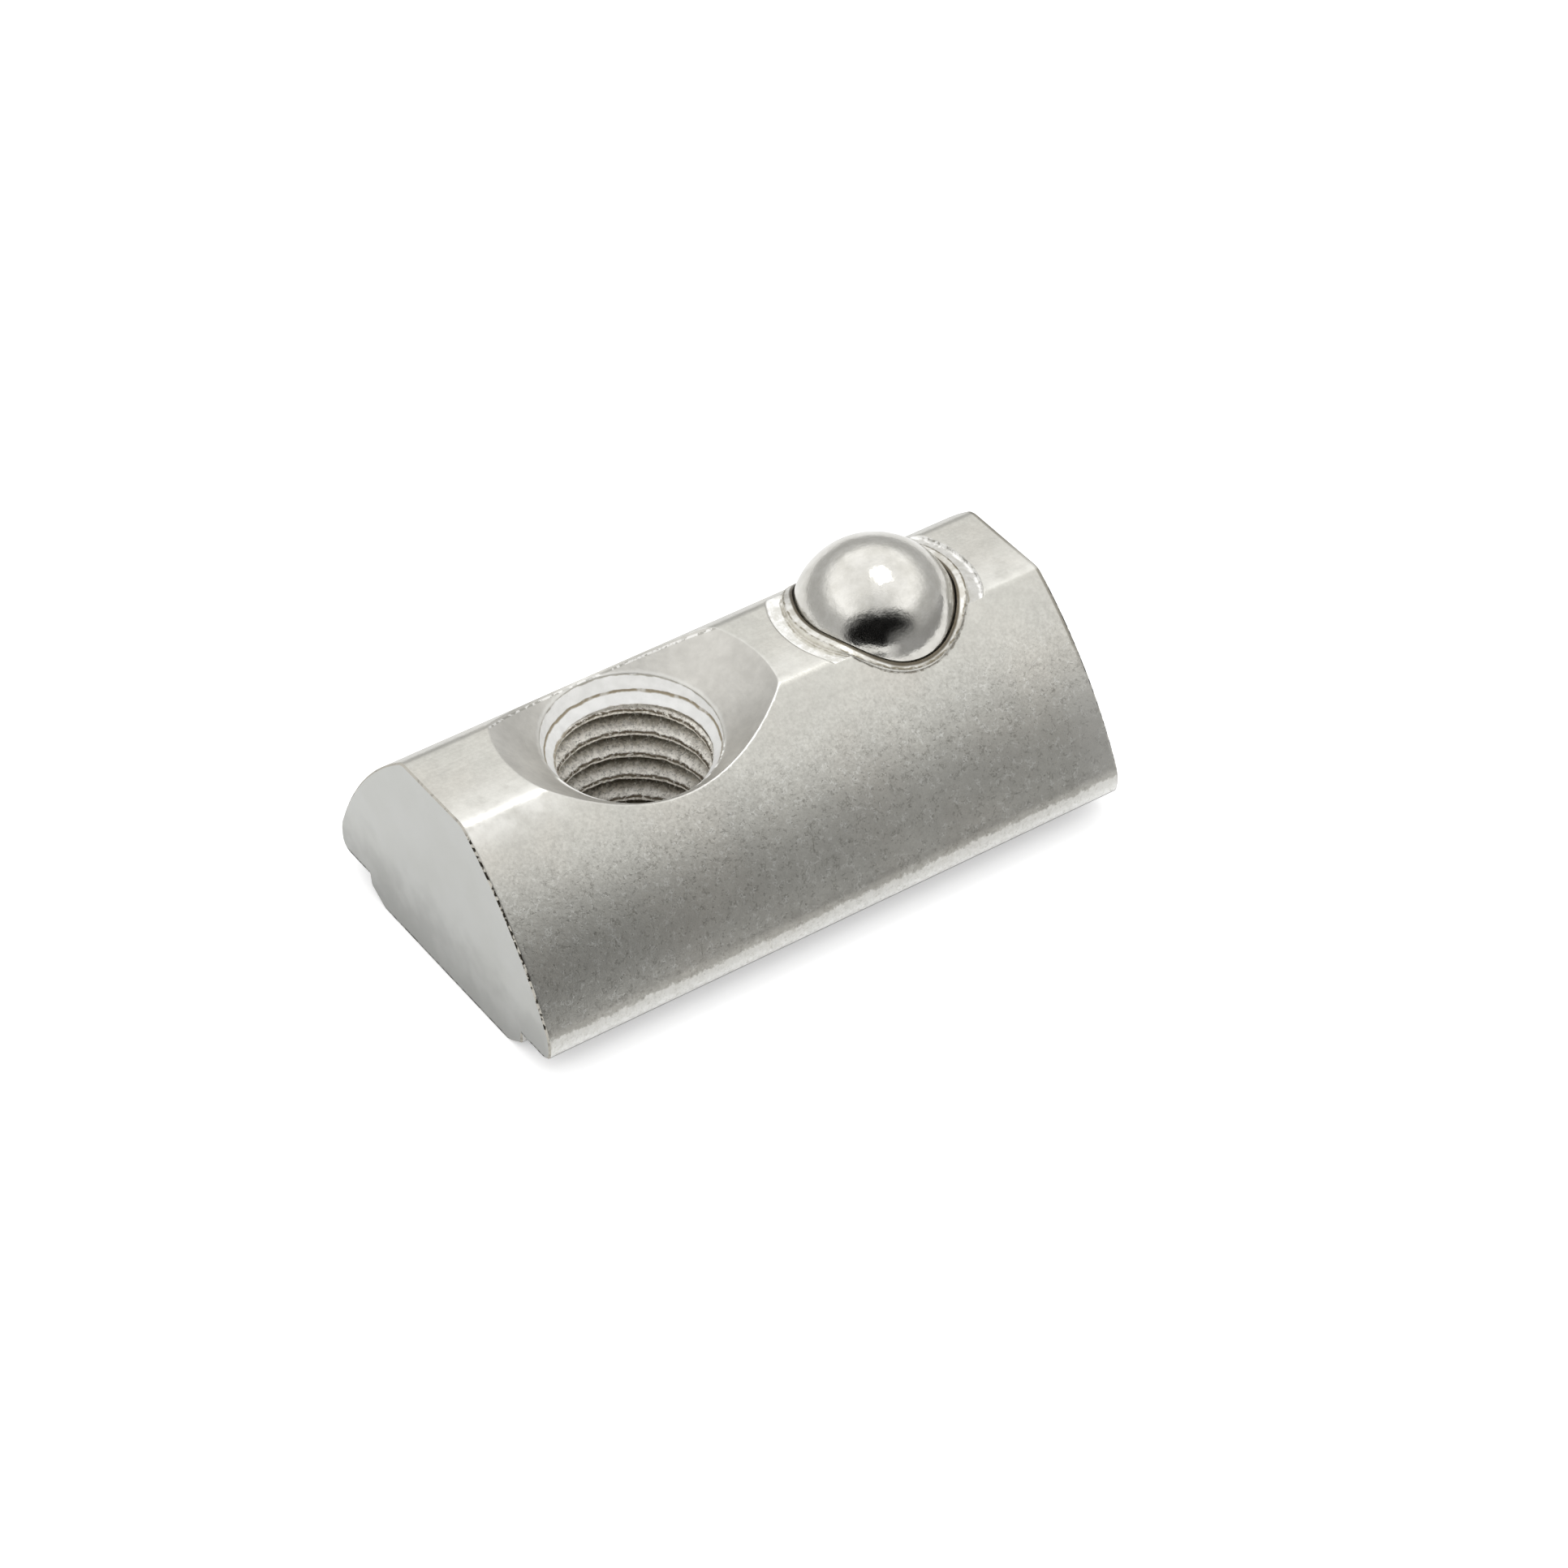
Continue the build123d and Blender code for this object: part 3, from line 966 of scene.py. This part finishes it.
def around(centre, azimuth, elevation, distance):
    """The place that lies in a direction from a centre. Angles are in degrees."""
    a, e = math.radians(azimuth), math.radians(elevation)
    return Vector((math.cos(a) * math.cos(e), math.sin(a) * math.cos(e), math.sin(e))) * distance + centre


def aim(thing, place, target):
    """Puts a thing somewhere and turns its -Z axis to a target."""
    out = (Vector(target) - Vector(place)).normalized()
    thing.matrix_world = Matrix.Translation(place) @ out.to_track_quat("-Z", "Y").to_matrix().to_4x4()


def floor_white():
    """White to the camera and in reflections, apart from the object's soft shadow, and clear from below."""
    s = Shader("floor white")
    path = s.nodes.new("ShaderNodeLightPath")
    lift = 0.0
    for ray, strength in FLOOR_LIFT.items():
        lift = s.plus(s.times(path.outputs[ray], strength), lift)
    underside = s.nodes.new("ShaderNodeNewGeometry").outputs["Backfacing"]
    s.shine(metallic=0, specular=0, glow=(1, 1, 1, 1), glow_strength=lift, alpha=s.minus(1.0, underside))
    return s.finish((0.8, 0.8, 0.8), 1)


def make_floor():
    floor = sheet("floor", FLOOR_HALF)
    floor.location.z = -FLOOR_GAP
    dress(floor, floor_white())


def flag_material(name, level, fade, long):
    """Unlit, of one brightness, and clear towards its edges: an oval, or a long strip."""
    s = Shader(name)
    spot = s.vector("SCALE", s.place, scale=MM)
    if long:
        parts = s.split(spot)
        across, along = s.math("ABSOLUTE", parts["X"]), s.math("ABSOLUTE", parts["Y"])
        alpha = s.times(s.fit(across, 0.5, 0.44), s.fit(along, 0.5, 0.5 - fade))
    else:
        uneven = s.times(s.noise(7, 4, place=spot, rough=0.65), 0.2)
        reach = s.plus(s.vector("LENGTH", spot), uneven)
        alpha = s.fit(reach, 0.52, 0.52 - fade)
    s.shine(metallic=0, specular=0, glow=(level, level, level, 1), glow_strength=1, alpha=alpha)
    return s.finish((0, 0, 0), 1)


def make_flag(name, place, target, size, level, fade, long=False):
    """A soft-edged panel that shows only in reflections, for a darker part of the studio."""
    flag = sheet(name, 0.5)
    dress(flag, flag_material(name, level, fade, long))
    flag.visible_camera = False
    flag.visible_diffuse = False
    flag.visible_shadow = False
    flag.visible_transmission = False
    aim(flag, place, target)
    flag.scale = (*size, 1)


def make_flags():
    """Two flags mirrored by the ball, and two low ones mirrored by the flank and the ball's lower right."""
    by_ball = around(BALL_CENTRE, azimuth=243, elevation=13, distance=FLAG_DISTANCE)
    make_flag("flag", by_ball, BALL_CENTRE, size=(0.412, 0.28), level=0.001, fade=0.22)
    above = around(BALL_CENTRE, azimuth=238, elevation=57, distance=FLAG_DISTANCE)
    make_flag("high_flag", above, BALL_CENTRE, size=(0.27, 0.10), level=0.78, fade=0.45)
    below_ball = Vector((BALL_CENTRE.x, BALL_CENTRE.y, LOW_FLAG_HEIGHT))
    beside = around(below_ball, azimuth=240, elevation=0, distance=LOW_FLAG_DISTANCE)
    make_flag("low_flag", beside, beside + Vector((0, 0, 1)), size=(0.021, 0.021), level=0.02, fade=0.3)
    facing = Vector((LOW_STRIP_PLACE.x, 0, 0))
    make_flag("low_strip", LOW_STRIP_PLACE, facing, size=(0.13, 0.026), level=0.35, fade=0.3, long=True)


def add_lamp(name, place, target, size, radiance):
    """A soft box whose face shines as brightly as the radiance says, where 1 is white."""
    data = bpy.data.lights.new(name, "AREA")
    data.shape = "RECTANGLE"
    data.size, data.size_y = size
    data.energy = radiance * math.pi * size[0] * size[1]
    lamp = bpy.data.objects.new(name, data)
    bpy.context.scene.collection.objects.link(lamp)
    aim(lamp, place, target)
    return lamp


def make_lamps():
    """A fill at the camera's side that has no reflection of its own, and a soft box above the ball's end."""
    fill_place = around(FILL_TARGET, azimuth=238, elevation=52, distance=FILL_DISTANCE)
    fill = add_lamp("fill", fill_place, FILL_TARGET, size=(0.08, 0.08), radiance=2.9)
    fill.visible_glossy = False
    add_lamp("overhead", OVERHEAD_PLACE, OVERHEAD_TARGET, size=(0.03, 0.026), radiance=2.4)


def make_camera():
    data = bpy.data.cameras.new("camera")
    data.sensor_width = 36
    data.lens = CAMERA_LENS
    data.clip_start = 0.01
    data.clip_end = 10
    camera = bpy.data.objects.new("camera", data)
    bpy.context.scene.collection.objects.link(camera)
    ahead = Vector((
        -math.sin(CAMERA_AZIMUTH) * math.cos(CAMERA_ELEVATION),
        math.cos(CAMERA_AZIMUTH) * math.cos(CAMERA_ELEVATION),
        -math.sin(CAMERA_ELEVATION),
    ))
    level = ahead.cross(Vector((0, 0, 1))).normalized()
    upright = level.cross(ahead)
    right = level * math.cos(CAMERA_ROLL) - upright * math.sin(CAMERA_ROLL)
    up = upright * math.cos(CAMERA_ROLL) + level * math.sin(CAMERA_ROLL)
    place = WHOLE_MIDDLE + right * CAMERA_SHIFT[0] + up * CAMERA_SHIFT[1] - ahead * CAMERA_DISTANCE
    axes = Matrix((right, up, -ahead)).transposed()
    camera.matrix_world = Matrix.Translation(place) @ axes.to_4x4()
    bpy.context.scene.camera = camera


def make_world():
    """A plain studio dome: soft light from above that fades towards the horizon."""
    world = bpy.data.worlds.new("world")
    bpy.context.scene.world = world
    world.use_nodes = True
    nodes, links = world.node_tree.nodes, world.node_tree.links
    direction = nodes.new("ShaderNodeTexCoord")
    split = nodes.new("ShaderNodeSeparateXYZ")
    links.new(direction.outputs["Generated"], split.inputs[0])
    height = nodes.new("ShaderNodeMath")
    height.operation = "MAXIMUM"
    height.inputs[1].default_value = 0
    links.new(split.outputs["Z"], height.inputs[0])
    dome = nodes.new("ShaderNodeValToRGB")
    set_stops(dome.color_ramp.elements, [(z, (level, level, level)) for z, level in DOME])
    links.new(height.outputs[0], dome.inputs["Fac"])
    links.new(dome.outputs["Color"], nodes["Background"].inputs["Color"])


make_floor()
make_flags()
make_camera()
make_world()
make_lamps()
bpy.context.scene.view_settings.view_transform = "Standard"
